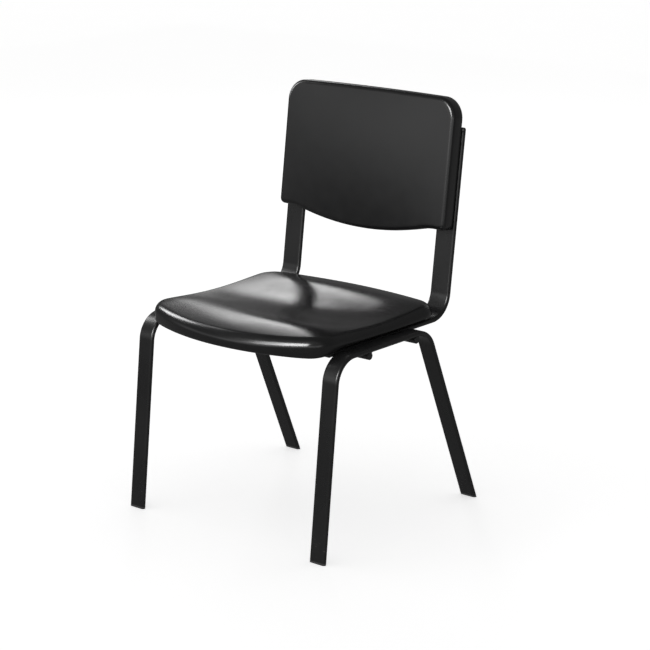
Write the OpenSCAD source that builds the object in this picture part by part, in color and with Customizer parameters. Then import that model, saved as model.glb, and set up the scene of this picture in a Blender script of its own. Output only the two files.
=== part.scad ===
// Choir chair: two moulded pads on a frame of bent flat-oval tube.
// The sitter faces -Y, +X is the sitter's left side, and the feet stand on Z = 0.

/* [Frame] */
// Overall width across the two leg frames
frame_w = 550; // [500:5:600]
// Height of the top of the seat rails, which carry the seat
rail_top = 424; // [390:2:460]
// Length of the seat rail from the front knee to the rear knee
knee_span = 297; // [270:1:330]
// How far the front foot stands ahead of the front knee
front_kick = 45; // [20:1:70]
// How far the rear foot stands behind the rear knee
rear_kick = 178; // [140:1:210]
// Radius of every bend, measured to the middle of the tube
bend_r = 55; // [48:1:62]

/* [Tube] */
// Width of the leg tube across its flat faces
leg_tube_w = 40; // [34:1:46]
// Width of the back upright's tube
post_tube_w = 50; // [44:1:56]
// Thickness of both tubes
tube_t = 10; // [9:0.5:12]
// Wall of both tubes
tube_wall = 2; // [1.5:0.1:2.5]
// How much flatter and narrower the tube is in its bends, on each side
bend_slim = 0.04; // [0.03:0.01:0.1]
// How far a straight stretch runs on into a bend
bend_lap = 1; // [0.5:0.1:1.5]

/* [Back uprights] */
// Gap between a leg rail and the upright's level run beside it
run_gap = 0.5; // [0.3:0.1:2]
// How far behind the front knee the level run starts
run_start = 20; // [10:1:35]
// Distance from the front knee back to the upright's knee
post_reach = 414; // [395:1:440]
// Backward lean of the upright
post_lean = 7.5; // [4:0.5:12]
// Length of the upright from its knee to its top end
post_len = 401; // [370:1:440]

/* [Cross bars] */
// Diameter of the two round bars under the rails
bar_d = 16; // [12:1:20]
// How far each bar end stops short of the frame's outer face
bar_inset = 5; // [2:0.5:10]
// Distance from the front knee back to the front bar
front_bar_back = 103; // [80:1:125]
// Distance from the rear knee forward to the rear bar
rear_bar_ahead = 38; // [20:1:60]
// Leg of the fillet weld between a bar and a tube
weld_leg = 3.5; // [2:0.5:5]
// Bevel round each bar end
bar_bevel = 1; // [0.5:0.25:2]

/* [Seat pad] */
// How far the pad's side lies inside the frame's outer face
seat_side_inset = 33; // [24:1:40]
// How far the middle of the front edge reaches ahead of the front knee
seat_nose = 65; // [50:1:85]
// Radius of the bowed front edge, seen from above
seat_bow_r = 520; // [420:10:900]
// Radius of the front corners, seen from above
seat_corner_r = 59; // [50:1:80]
// Radius of the slightly bowed rear edge
seat_rear_bow_r = 850; // [700:10:1400]
// Radius of the rear corners, seen from above
seat_rear_r = 60; // [50:1:70]
// Gap between the pad's lower rear edge and the bend of the upright
seat_post_gap = 11; // [4:0.5:16]
// Height of the pad's crest above the rails
seat_crest = 40; // [38:0.5:46]
// Rounding between the top and the side
seat_edge_r = 19.5; // [16:0.5:22]
// How wide the top falls away gently towards the edge
seat_roll_w = 98; // [80:1:115]
// How far it falls away over that width
seat_roll_h = 12; // [6:0.5:14]
// How much higher the corners stand than the sides
seat_corner_rise = 5.5; // [2:0.5:7]
// Depth of the hollow across the middle of the seat
seat_dish = 21; // [10:1:24]
// How deep that hollow still is at the rim itself
seat_rim_dip = 2.4; // [0:0.2:4]
// How much the middle stands proud of the sides
seat_crown = 2; // [0:0.25:3]
// How far the middle of the front edge lies below the crest
seat_front_fall = 10; // [5:0.5:13]
// Distance from the front knee back to where that fall begins
seat_fall_start = 105; // [80:1:130]
// Height of the pad's lower side edge above the rails
seat_lift = 8; // [4:0.5:9]
// How far the front lip hangs below the top of the rails
seat_lip = 9; // [4:0.5:11]
// How far the pad's lower edge is drawn in from its side
seat_tuck = 6; // [4:0.5:8]
// Thickness of the board under the pad
seat_board_t = 10; // [9.5:0.5:12]
// How far the board's edge lies inside the pad's edge
seat_board_inset = 16; // [14:1:20]
// Corner radius of the seat board
seat_board_r = 38; // [30:1:50]

/* [Back pad] */
// How far the pad's side lies inside the upright's outer edge
back_side_inset = 7; // [4:0.5:12]
// Height of the pad's lowest point along the upright, from its knee
back_low = 161.5; // [140:1:185]
// Height of the pad's top edge along the upright, from its knee
back_high = 466; // [445:1:500]
// Thickness of the pad at its edge
back_t = 33; // [28:1:40]
// How far the middle of the front face stands proud of its edge
back_crown = 4; // [0:0.5:8]
// Radius of the top corners
back_corner_r = 46; // [35:1:60]
// Radius of the bottom corners
back_low_r = 12; // [11:1:20]
// Radius of the bellied lower edge
back_belly_r = 1000; // [800:10:1400]
// Radius of the almost straight top edge
back_top_r = 9000; // [5000:500:15000]
// Rounding between the front face and the side
back_edge_r = 9; // [6:0.5:11]
// How far the pad's rear edge is drawn in
back_tuck = 4; // [2:0.5:6]
// Thickness of the board behind the pad
back_board_t = 8; // [7:0.5:10]
// How far the board's edge lies inside the pad's edge
back_board_inset = 9; // [8:0.5:10]
// Corner radius of the back board's top corners
back_board_r = 36; // [25:1:50]

/* [Screws and nuts] */
// Diameter of a screw
screw_d = 6; // [5:0.5:7]
// Diameter of a screw head
head_d = 12; // [10:0.5:14]
// Height of a screw head
head_h = 3.5; // [3:0.25:4.5]
// Hexagon key size across the corners
key_d = 4.6; // [3.5:0.1:5]
// Depth of the hexagon socket
key_depth = 2; // [1.5:0.25:2.5]
// Diameter of the barrel of a T-nut
nut_d = 8; // [7.6:0.1:9]
// Diameter of the flange of a T-nut
nut_flange_d = 15; // [12:0.5:16]
// Thickness of the flange of a T-nut
nut_flange_t = 1.2; // [1:0.1:1.6]
// Distance from the front knee back to the front seat screws
seat_screw_front = 62; // [50:1:75]
// Distance from the rear knee to the rear seat screws, ahead of it
seat_screw_rear = 4; // [0:1:10]
// Distance from an upright's top end down to its upper back screw
back_screw_drop = 43; // [30:1:60]
// Distance between the two back screws of one upright
back_screw_pitch = 130; // [100:1:150]

/* [Plugs and glides] */
// Thickness of the foot glides under the tube ends
glide_t = 3; // [2:0.5:5]
// How far a glide's or plug's core reaches into its tube
plug_depth = 18; // [10:1:25]
// Length of the shouldered cap on top of an upright
post_cap = 7; // [6:0.5:10]
// Radius of the shoulders of that cap
post_shoulder_r = 6; // [3:0.5:6]
// Thickness of the cap on the front end of a level run
run_cap = 3; // [2:0.5:5]

/* [Fits] */
// Clearance of a screw in its hole
hole_clear = 0.3; // [0.2:0.05:0.5]
// Clearance of a screw in its nut, and of a nut in its board
nut_clear = 0.1; // [0.05:0.05:0.2]
// Clearance of a plug's core in its tube
plug_clear = 0.2; // [0.1:0.05:0.4]
// Clearance round a board's edge in its pad
board_clear = 0.3; // [0.2:0.05:0.5]

/* [Hidden] */
$fn = 64;

// One overrun for every cut
cut = 1;

// Middle height of the rails, and the leans of the legs
rail_z = rail_top - tube_t / 2;
front_lean = atan(front_kick / rail_z);
rear_lean = atan(rear_kick / rail_z);

// How far each bend's tangent points lie from its knee
front_tan = bend_r * tan((90 - front_lean) / 2);
rear_tan = bend_r * tan((90 - rear_lean) / 2);
post_tan = bend_r * tan((90 - post_lean) / 2);

// Half the rear foot's depth on the floor, then the places of the knees from front to back
rear_foot_half = tube_t / 2 / cos(rear_lean);
overall_d = seat_nose + knee_span + rear_kick + rear_foot_half;
front_knee_y = seat_nose - overall_d / 2;
rear_knee_y = front_knee_y + knee_span;
post_knee_y = front_knee_y + post_reach;
front_foot_y = front_knee_y - front_kick;
rear_foot_y = rear_knee_y + rear_kick;

// Middle lines of the leg frames and of the uprights, to each side
leg_x = frame_w / 2 - leg_tube_w / 2;
post_x = frame_w / 2 - leg_tube_w - run_gap - post_tube_w / 2;
run_y = front_knee_y + run_start;

// Bars: their middle height under the rails, half their length and their places
bar_z = rail_top - tube_t - bar_d / 2;
bar_half = frame_w / 2 - bar_inset;
front_bar_y = front_knee_y + front_bar_back;
rear_bar_y = rear_knee_y - rear_bar_ahead;

// Seat pad: its width, front and rear edges; the rear edge keeps its gap to the inside of the bend
seat_w = frame_w - 2 * seat_side_inset;
seat_front_y = front_knee_y - seat_nose;
bend_in_r = bend_r - tube_t / 2;
bend_y = post_knee_y - post_tan;
bend_reach = sqrt(pow(bend_in_r, 2) - pow(bend_in_r - seat_lift, 2));
post_in_x = post_x - post_tube_w / 2;
seat_rear_sag = seat_rear_bow_r - sqrt(pow(seat_rear_bow_r, 2) - pow(post_in_x, 2));
seat_rear_y = bend_y + bend_reach + seat_tuck - seat_post_gap + seat_rear_sag;
seat_mid_y = (seat_front_y + seat_rear_y) / 2;
// The lip fades out between these two places, at shares of the nose and of the front bend
lip_end_share = 1.6;
lip_start_share = 0.45;
lip_start_y = front_knee_y - lip_start_share * seat_nose;
lip_end_y = front_knee_y + lip_end_share * front_tan;

// Where the hollow is deepest and how far it reaches each way, as shares of the pad's depth
dish_y_share = 0.516;
dish_reach_share = 0.348;
dish_y = seat_front_y + dish_y_share * (seat_rear_y - seat_front_y);
dish_reach = dish_reach_share * (seat_rear_y - seat_front_y);
// How much of the hollow's depth is left at the pad's sides
dish_side_share = 0.68;
fall_start_y = front_knee_y + seat_fall_start;

// Back pad: its width, in the frame of the upright
back_w = 2 * (post_x + post_tube_w / 2 - back_side_inset);
back_mid = (back_low + back_high) / 2;

// Steps along the pads' outlines: bows, corners and straight sides
bow_steps = 12;
corner_steps = 7;
side_steps = 6;

// The pads' lower edge rings: tuck shares, then height shares of the belt
seat_under_shares = [[1.75, 0.06], [1, 0], [0.35, 0.1], [0.04, 0.38]];
// Rounding angles of the seat's edge, and how far the last inset ring lies in, as a share of it
seat_angles = [0, 15, 30, 45, 60, 75];
seat_last_share = 1.3;
// Further rings as shares of the way from there to the middle
inner_shares = [0.13, 0.26, 0.42, 0.6, 0.8];
// Rounding angles of the back pad's front edge, and its rings to the middle
back_angles = [0, 30, 60, 90];
back_inner_shares = [0.2, 0.45, 0.72];

// Points along an arc, without its last one
function arc_points(c, r, from, to, n) =
  [for (i = [0:n - 1]) let (a = from + (to - from) * i / n) [c.x + r * cos(a), c.y + r * sin(a)]];

// Points on a straight line between two arcs
function side_points(x, from, to) =
  [for (i = [0:side_steps - 1]) [x, from + (to - from) * i / side_steps]];

// A pad's outline, drawn in by e: two bows, four corners and two straight sides
function pad_outline(w, low, high, low_bow, low_r, high_bow, high_r, e) =
  let (
    low_x = w / 2 - low_r,
    high_x = w / 2 - high_r,
    low_a = asin(low_x / (low_bow - low_r)),
    high_a = asin(high_x / (high_bow - high_r)),
    low_y = low + low_bow - (low_bow - low_r) * cos(low_a),
    high_y = high - high_bow + (high_bow - high_r) * cos(high_a)
  )
  concat(
    arc_points([0, low + low_bow], low_bow - e, 270 - low_a, 270 + low_a, bow_steps),
    arc_points([low_x, low_y], low_r - e, 270 + low_a, 360, corner_steps),
    side_points(w / 2 - e, low_y, high_y),
    arc_points([high_x, high_y], high_r - e, 0, 90 - high_a, corner_steps),
    arc_points([0, high - high_bow], high_bow - e, 90 - high_a, 90 + high_a, bow_steps),
    arc_points([-high_x, high_y], high_r - e, 90 + high_a, 180, corner_steps),
    side_points(-w / 2 + e, high_y, low_y),
    arc_points([-low_x, low_y], low_r - e, 180, 270 - low_a, corner_steps)
  );

function seat_outline(e) = pad_outline(
  seat_w, seat_front_y, seat_rear_y, seat_bow_r, seat_corner_r, seat_rear_bow_r, seat_rear_r, e
);

function seat_board_outline(e) =
  let (s = seat_board_inset + e)
  pad_outline(
    seat_w - 2 * s, seat_front_y + s, seat_rear_y - s,
    seat_bow_r - s, seat_board_r, seat_rear_bow_r - s, seat_board_r, 0
  );

function back_outline(e) = pad_outline(
  back_w, back_low, back_high, back_belly_r, back_low_r, back_top_r, back_corner_r, e
);

function back_board_outline(e) =
  let (s = back_board_inset + e)
  pad_outline(
    back_w - 2 * s, back_low + s, back_high - s,
    back_belly_r - s, back_low_r, back_top_r - s, back_board_r, 0
  );

// Rise of the seat towards its corners at a place on it
function corner_rise(p) =
  let (across = 2 * abs(p.x) / seat_w, along = abs(p.y - seat_mid_y) / (seat_rear_y - seat_mid_y))
  seat_corner_rise * pow(across * along, 3);

// Fall of the seat towards the middle of its front edge
function front_fall(p) =
  let (
    across = min(1, 2 * abs(p.x) / seat_w),
    forward = max(0, (fall_start_y - p.y) / (fall_start_y - seat_front_y))
  )
  seat_front_fall * forward * forward * (1 - pow(across, 4));

// Height of the seat's top at a place that lies e inside the outline: the crest and its falls,
// and the hollow, which runs from side to side and fades out towards the rim
function seat_top(p, e) =
  let (
    u = max(0, 1 - e / seat_edge_r),
    v = max(0, 1 - e / seat_roll_w),
    across = min(1, 2 * abs(p.x) / seat_w),
    along = min(1, abs(p.y - dish_y) / dish_reach),
    broad = 1 - across * across,
    deep = seat_dish * (dish_side_share + (1 - dish_side_share) * broad),
    hollow = seat_rim_dip + (deep - seat_rim_dip) * (1 - v * v)
  )
  rail_top + seat_crest + corner_rise(p) - front_fall(p) + seat_crown * broad * (1 - v * v)
    - hollow * pow(1 - along * along, 2)
    - seat_edge_r * (1 - sqrt(1 - u * u)) - seat_roll_h * v * v;

// How far the back pad's face stands proud of its edge at a place on it
function back_swell(p) =
  let (
    across = 2 * p.x / (back_w - 2 * back_edge_r),
    along = 2 * (p.y - back_mid) / (back_high - back_low - 2 * back_edge_r)
  )
  back_crown * max(0, 1 - across * across) * max(0, 1 - along * along);

// Height of the pad's lower edge: a lip in front, lifted clear of the rails at the sides
function seat_under(y) =
  let (
    u = max(0, min(1, (y - lip_start_y) / (lip_end_y - lip_start_y))),
    fade = u * u * (3 - 2 * u)
  )
  rail_top - seat_lip + (seat_lip + seat_lift) * fade;

// Ring between the last inset ring and the middle of the pad
function drawn_in(ring, mid, share) = [for (p = ring) mid + (p - mid) * (1 - share)];

// A ring of points at one height, and one that follows the back pad's swell
function level(ring, z) = [for (p = ring) [p.x, p.y, z]];

function swelled(ring, z) = [for (p = ring) [p.x, p.y, z + back_swell(p)]];

// Closed skin over stacked rings of equal count, with a middle point at each end
module skin(rings, first_mid, last_mid) {
  n = len(rings[0]);
  k = len(rings);
  points = concat([for (r = rings) each r], [first_mid, last_mid]);
  walls = [
    for (j = [0:k - 2], i = [0:n - 1])
      let (a = j * n + i, b = j * n + (i + 1) % n)
      each [[a, b + n, b], [a, a + n, b + n]]
  ];
  first_cap = [for (i = [0:n - 1]) [k * n, i, (i + 1) % n]];
  last_cap = [for (i = [0:n - 1]) [k * n + 1, (k - 1) * n + (i + 1) % n, (k - 1) * n + i]];
  polyhedron(points, concat(walls, first_cap, last_cap));
}

// Flat-oval section, wide along X
module oval(w, t) {
  square([w - t, t], center = true);
  for (s = [-1, 1]) translate([s * (w - t) / 2, 0]) circle(d = t);
}

// Straight tube stretch along +Z
module stretch(w, t, len) linear_extrude(len) oval(w, t);

// Bent stretch about the X axis, angles counted from +Y towards +Z
module bend(w, t, from, to) {
  rotate([90, 0, 90])
    rotate([0, 0, from])
      rotate_extrude(angle = to - from)
        translate([bend_r, 0]) rotate(90) oval(w - 2 * bend_slim, t - 2 * bend_slim);
}

// Solid along a leg frame's path, run on at both feet by over
module leg_path(w, t, over) {
  front_len = rail_z / cos(front_lean) - front_tan;
  rear_len = rail_z / cos(rear_lean) - rear_tan;
  translate([0, front_foot_y, 0]) rotate([-front_lean, 0, 0]) translate([0, 0, -over])
    stretch(w, t, front_len + over + bend_lap);
  translate([0, front_knee_y + front_tan, rail_z - bend_r]) bend(w, t, 90, 180 - front_lean);
  translate([0, front_knee_y + front_tan - bend_lap, rail_z]) rotate([-90, 0, 0])
    stretch(w, t, knee_span - front_tan - rear_tan + 2 * bend_lap);
  translate([0, rear_knee_y - rear_tan, rail_z - bend_r]) bend(w, t, rear_lean, 90);
  translate([0, rear_foot_y, 0]) rotate([rear_lean, 0, 0]) translate([0, 0, -over])
    stretch(w, t, rear_len + over + bend_lap);
}

// Frame of the upright: X across, Y up along it from its knee, Z forward from its middle plane
module on_post() {
  translate([0, post_knee_y, rail_z]) rotate([90 - post_lean, 0, 0]) children();
}

// Solid along an upright's path between its plugs' caps, run on at both ends by over
module post_path(w, t, over) {
  translate([0, run_y + run_cap - over, rail_z]) rotate([-90, 0, 0])
    stretch(w, t, bend_y - run_y - run_cap + over + bend_lap);
  translate([0, bend_y, rail_z + bend_r]) bend(w, t, -90, -post_lean);
  on_post() translate([0, post_tan - bend_lap, 0]) rotate([-90, 0, 0])
    stretch(w, t, post_len - post_cap - post_tan + over + bend_lap);
}

// Places of the four seat screws, pointing up from the underside of the level runs
module at_seat_screws() {
  for (s = [-1, 1], y = [front_knee_y + seat_screw_front, rear_knee_y - seat_screw_rear])
    translate([s * post_x, y, rail_z - tube_t / 2]) children();
}

// Places of the four back screws, pointing forward from the rear face of the uprights
module at_back_screws() {
  high = post_len - back_screw_drop;
  for (s = [-1, 1], v = [high - back_screw_pitch, high])
    on_post() translate([s * post_x, v, -tube_t / 2]) children();
}

module screw_hole() {
  translate([0, 0, -cut]) cylinder(d = screw_d + 2 * hole_clear, h = tube_t + 2 * cut);
}

// Screw with a bevelled head under Z = 0 and a hexagon socket
module screw(len) {
  bevel = head_h / 4;
  difference() {
    union() {
      translate([0, 0, -cut / 2]) cylinder(d = screw_d, h = len + cut / 2);
      translate([0, 0, bevel - head_h]) cylinder(d = head_d, h = head_h - bevel);
      translate([0, 0, -head_h]) cylinder(d1 = head_d - 2 * bevel, d2 = head_d, h = bevel);
    }
    translate([0, 0, -head_h - cut]) cylinder(d = key_d, h = key_depth + cut, $fn = 6);
  }
}

// T-nut: barrel in the board below, flange flush with the board's far face at Z = 0
module tee_nut(board_t) {
  barrel = board_t - nut_flange_t - nut_clear;
  difference() {
    union() {
      translate([0, 0, -nut_flange_t]) cylinder(d = nut_flange_d, h = nut_flange_t);
      translate([0, 0, -nut_flange_t - barrel]) cylinder(d = nut_d, h = barrel + nut_flange_t / 2);
    }
    translate([0, 0, -board_t - cut]) cylinder(d = screw_d + 2 * nut_clear, h = board_t + 2 * cut);
  }
}

// Pocket for a T-nut through a board whose far face is Z = 0
module nut_pocket(board_t) {
  translate([0, 0, -board_t - cut]) cylinder(d = nut_d + 2 * nut_clear, h = board_t + 2 * cut);
  translate([0, 0, -nut_flange_t]) cylinder(d = nut_flange_d + 2 * nut_clear, h = nut_flange_t + cut);
}

// Bent leg frame with open tube ends, cut level above the glides
module leg_frame(side) {
  below = 2 * tube_t;
  translate([side * leg_x, 0, 0]) difference() {
    leg_path(leg_tube_w, tube_t, below);
    leg_path(leg_tube_w - 2 * tube_wall, tube_t - 2 * tube_wall, below + cut);
    translate([-leg_tube_w, front_foot_y - bend_r, glide_t - 2 * below - cut])
      cube([2 * leg_tube_w, rear_foot_y - front_foot_y + 2 * bend_r, 2 * below + cut]);
  }
}

// Upright in one piece with its level run, drilled for the seat and back screws
module back_upright(side) {
  difference() {
    translate([side * post_x, 0, 0]) difference() {
      post_path(post_tube_w, tube_t, 0);
      post_path(post_tube_w - 2 * tube_wall, tube_t - 2 * tube_wall, cut);
    }
    at_seat_screws() screw_hole();
    at_back_screws() screw_hole();
  }
}

// Fillet welds between a bar along X and the flat of a tube above it
module weld(x, flat) {
  top = bar_d / 2;
  half = sqrt(pow(top, 2) - pow(top - weld_leg, 2));
  for (s = [-1, 1]) translate([s * x - flat / 2, 0, 0]) rotate([90, 0, 90]) linear_extrude(flat)
    polygon([[-half - weld_leg / 2, top], [half + weld_leg / 2, top],
      [half, top - weld_leg], [-half, top - weld_leg]]);
}

// Round bar under both rails and both level runs, bevelled at its closed ends
module cross_bar(y) {
  translate([0, y, bar_z]) {
    rotate([0, 90, 0]) {
      cylinder(d = bar_d, h = 2 * (bar_half - bar_bevel), center = true);
      for (s = [0, 1]) mirror([0, 0, s]) translate([0, 0, bar_half - bar_bevel])
        cylinder(d1 = bar_d, d2 = bar_d - 2 * bar_bevel, h = bar_bevel);
    }
    weld(leg_x, leg_tube_w - tube_t - weld_leg);
    weld(post_x, post_tube_w - tube_t - weld_leg);
  }
}

// Moulded seat: pocket for the board, drawn-in lower edge, front lip, rounded rim and hollow top
module seat_pad_form() {
  pocket = seat_board_outline(-board_clear);
  last = seat_last_share * seat_edge_r;
  reach = seat_w / 2 - last;
  mid = [0, seat_mid_y];
  under = [
    for (s = seat_under_shares) let (ring = seat_outline(s[0] * seat_tuck))
      [for (p = ring) let (z = seat_under(p.y)) [p.x, p.y, z + s[1] * (seat_top(p, 0) - z)]]
  ];
  rim = [
    for (e = [for (a = seat_angles) seat_edge_r * (1 - cos(a)), last])
      [for (p = seat_outline(e)) [p.x, p.y, seat_top(p, e)]]
  ];
  inner = [
    for (s = inner_shares) let (e = last + s * reach)
      [for (p = drawn_in(seat_outline(last), mid, s)) [p.x, p.y, seat_top(p, e)]]
  ];
  skin(
    concat(
      [level(pocket, rail_top + seat_board_t), level(pocket, rail_top + seat_lift)],
      under, rim, inner
    ),
    [0, seat_mid_y, rail_top + seat_board_t],
    [0, seat_mid_y, seat_top(mid, seat_w / 2)]
  );
}

// Moulded back in the frame of the upright, rear face on Z = 0
module back_pad_form() {
  pocket = back_board_outline(-board_clear);
  mid = [0, back_mid];
  inner_ring = back_outline(back_edge_r);
  side = [
    level(back_outline(back_tuck), 0),
    level(back_outline(back_tuck / 4), back_tuck / 2),
    level(back_outline(0), back_tuck)
  ];
  edge = [
    for (a = back_angles)
      swelled(back_outline(back_edge_r * (1 - cos(a))), back_t - back_edge_r * (1 - sin(a)))
  ];
  face = [for (s = back_inner_shares) swelled(drawn_in(inner_ring, mid, s), back_t)];
  skin(
    concat([level(pocket, back_board_t), level(pocket, 0)], side, edge, face),
    [0, back_mid, back_board_t],
    [0, back_mid, back_t + back_crown]
  );
}

// Foot glide: a foot as wide as the tube under its end, and a core inside it
module glide(side, foot_y, lean) {
  wide = 2 * leg_tube_w;
  translate([side * leg_x, 0, 0]) {
    intersection() {
      translate([0, foot_y, 0]) rotate([lean, 0, 0]) translate([0, 0, -wide])
        stretch(leg_tube_w, tube_t, 2 * wide);
      translate([-wide, foot_y - wide, 0]) cube([2 * wide, 2 * wide, glide_t]);
    }
    intersection() {
      translate([0, foot_y, 0]) rotate([lean, 0, 0]) translate([0, 0, -wide])
        stretch(leg_tube_w - 2 * tube_wall - 2 * plug_clear,
          tube_t - 2 * tube_wall - 2 * plug_clear, 2 * wide);
      translate([-wide, foot_y - wide, glide_t / 2])
        cube([2 * wide, 2 * wide, glide_t / 2 + plug_depth]);
    }
  }
}

// Core of a plug inside an upright's tube, along +Z from the tube's end plane
module plug_core() {
  stretch(post_tube_w - 2 * tube_wall - 2 * plug_clear, tube_t - 2 * tube_wall - 2 * plug_clear,
    plug_depth);
}

// Outline of an end cap seen square to the flat: two rounded shoulders
module shoulders(len, r) {
  half = post_tube_w / 2;
  translate([-half, 0]) square([2 * half, len - r]);
  translate([r - half, 0]) square([2 * (half - r), len]);
  for (s = [-1, 1]) translate([s * (half - r), len - r]) circle(r = r);
}

// Cap with shoulders, along +Z from the tube's end plane, and its core the other way
module end_plug(len, r) {
  intersection() {
    stretch(post_tube_w, tube_t, len);
    rotate([90, 0, 0]) translate([0, 0, -tube_t]) linear_extrude(2 * tube_t) shoulders(len, r);
  }
  translate([0, 0, cut / 2]) rotate([180, 0, 0]) plug_core();
}

module leg_frame_right() { color("#232325") leg_frame(1); }

module leg_frame_left() { color("#232325") leg_frame(-1); }

module back_upright_right() { color("#29292b") back_upright(1); }

module back_upright_left() { color("#29292b") back_upright(-1); }

module front_cross_bar() { color("#1d1d1f") cross_bar(front_bar_y); }

module rear_cross_bar() { color("#1d1d1f") cross_bar(rear_bar_y); }

module seat_pad() { color("#2b2b2d") seat_pad_form(); }

module seat_board() {
  color("#19191a") translate([0, 0, rail_top]) difference() {
    linear_extrude(seat_board_t) polygon(seat_board_outline(0));
    translate([0, 0, -rail_top]) at_seat_screws() translate([0, 0, tube_t + seat_board_t])
      nut_pocket(seat_board_t);
  }
}

module back_pad() { color("#2f2f31") on_post() translate([0, 0, tube_t / 2]) back_pad_form(); }

module back_board() {
  color("#19191a") difference() {
    on_post() translate([0, 0, tube_t / 2]) linear_extrude(back_board_t)
      polygon(back_board_outline(0));
    at_back_screws() translate([0, 0, tube_t + back_board_t]) nut_pocket(back_board_t);
  }
}

module seat_screws() { color("#3a3a3c") at_seat_screws() screw(tube_t + seat_board_t - nut_flange_t); }

module seat_tee_nuts() {
  color("#8c8c88") at_seat_screws() translate([0, 0, tube_t + seat_board_t]) tee_nut(seat_board_t);
}

module back_screws() { color("#3a3a3c") at_back_screws() screw(tube_t + back_board_t - nut_flange_t); }

module back_tee_nuts() {
  color("#8c8c88") at_back_screws() translate([0, 0, tube_t + back_board_t]) tee_nut(back_board_t);
}

module front_glide_right() { color("#111112") glide(1, front_foot_y, -front_lean); }

module front_glide_left() { color("#111112") glide(-1, front_foot_y, -front_lean); }

module rear_glide_right() { color("#111112") glide(1, rear_foot_y, rear_lean); }

module rear_glide_left() { color("#111112") glide(-1, rear_foot_y, rear_lean); }

module post_plug(side) {
  on_post() translate([side * post_x, post_len - post_cap, 0]) rotate([-90, 0, 0])
    end_plug(post_cap, post_shoulder_r);
}

module post_plug_right() { color("#151516") post_plug(1); }

module post_plug_left() { color("#151516") post_plug(-1); }

module run_plug(side) {
  translate([side * post_x, run_y + run_cap, rail_z]) rotate([90, 0, 0])
    end_plug(run_cap, run_cap / 2);
}

module run_plug_right() { color("#151516") run_plug(1); }

module run_plug_left() { color("#151516") run_plug(-1); }

leg_frame_right();
leg_frame_left();
back_upright_right();
back_upright_left();
front_cross_bar();
rear_cross_bar();
seat_pad();
seat_board();
back_pad();
back_board();
seat_screws();
seat_tee_nuts();
back_screws();
back_tee_nuts();
front_glide_right();
front_glide_left();
rear_glide_right();
rear_glide_left();
post_plug_right();
post_plug_left();
run_plug_right();
run_plug_left();
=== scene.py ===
import math

import bmesh
import bpy
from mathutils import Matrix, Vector


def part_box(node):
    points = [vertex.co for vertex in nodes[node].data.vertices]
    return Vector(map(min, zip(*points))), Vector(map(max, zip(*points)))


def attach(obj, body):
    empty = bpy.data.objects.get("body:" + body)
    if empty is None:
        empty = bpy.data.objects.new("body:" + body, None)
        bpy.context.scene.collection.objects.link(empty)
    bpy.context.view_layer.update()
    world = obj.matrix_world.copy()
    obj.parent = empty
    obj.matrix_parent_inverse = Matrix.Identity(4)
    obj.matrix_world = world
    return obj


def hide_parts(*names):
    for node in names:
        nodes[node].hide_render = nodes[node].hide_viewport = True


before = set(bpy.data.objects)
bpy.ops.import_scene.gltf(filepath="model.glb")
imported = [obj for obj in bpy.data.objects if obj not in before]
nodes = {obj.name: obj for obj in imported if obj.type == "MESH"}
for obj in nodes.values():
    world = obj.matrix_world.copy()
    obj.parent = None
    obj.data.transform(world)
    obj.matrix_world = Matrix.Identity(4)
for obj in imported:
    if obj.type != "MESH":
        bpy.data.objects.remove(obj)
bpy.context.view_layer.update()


# The two leg frames. Each is one flat-oval steel tube, 40 by 10 mm, bent twice into an upside-down U:
# front leg, seat rail, rear leg. It is powder coated black together with the rest of the frame.

rail_top = 0.424
tube_thick = 0.010
rail_mid = rail_top - tube_thick / 2
bend_radius = 0.055
leg_tube_wide = 0.040
front_kick = 0.045
rear_kick = 0.178
knee_span = 0.297
leg_low, leg_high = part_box("leg_frame_right")
leg_x = (leg_low.x + leg_high.x) / 2
foot_cut = leg_low.z
rear_foot_half = tube_thick / 2 * math.hypot(rear_kick, rail_mid) / rail_mid
rear_foot_y = leg_high.y - rear_foot_half + foot_cut * rear_kick / rail_mid
front_foot_y = rear_foot_y - rear_kick - knee_span - front_kick
front_knee_y = front_foot_y + front_kick
rear_knee_y = front_knee_y + knee_span


class Wire:
    """A number that varies over a surface. Sums and products of wires add the nodes that work them out."""

    def __init__(self, finish, socket):
        self.finish, self.socket = finish, socket

    def _join(self, operation, first, second):
        return self.finish.node("ShaderNodeMath", {"operation": operation}, {0: first, 1: second})

    def __add__(self, other): return self._join("ADD", self, other)
    def __radd__(self, other): return self._join("ADD", other, self)
    def __sub__(self, other): return self._join("SUBTRACT", self, other)
    def __rsub__(self, other): return self._join("SUBTRACT", other, self)
    def __mul__(self, other): return self._join("MULTIPLY", self, other)
    def __rmul__(self, other): return self._join("MULTIPLY", other, self)


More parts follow.
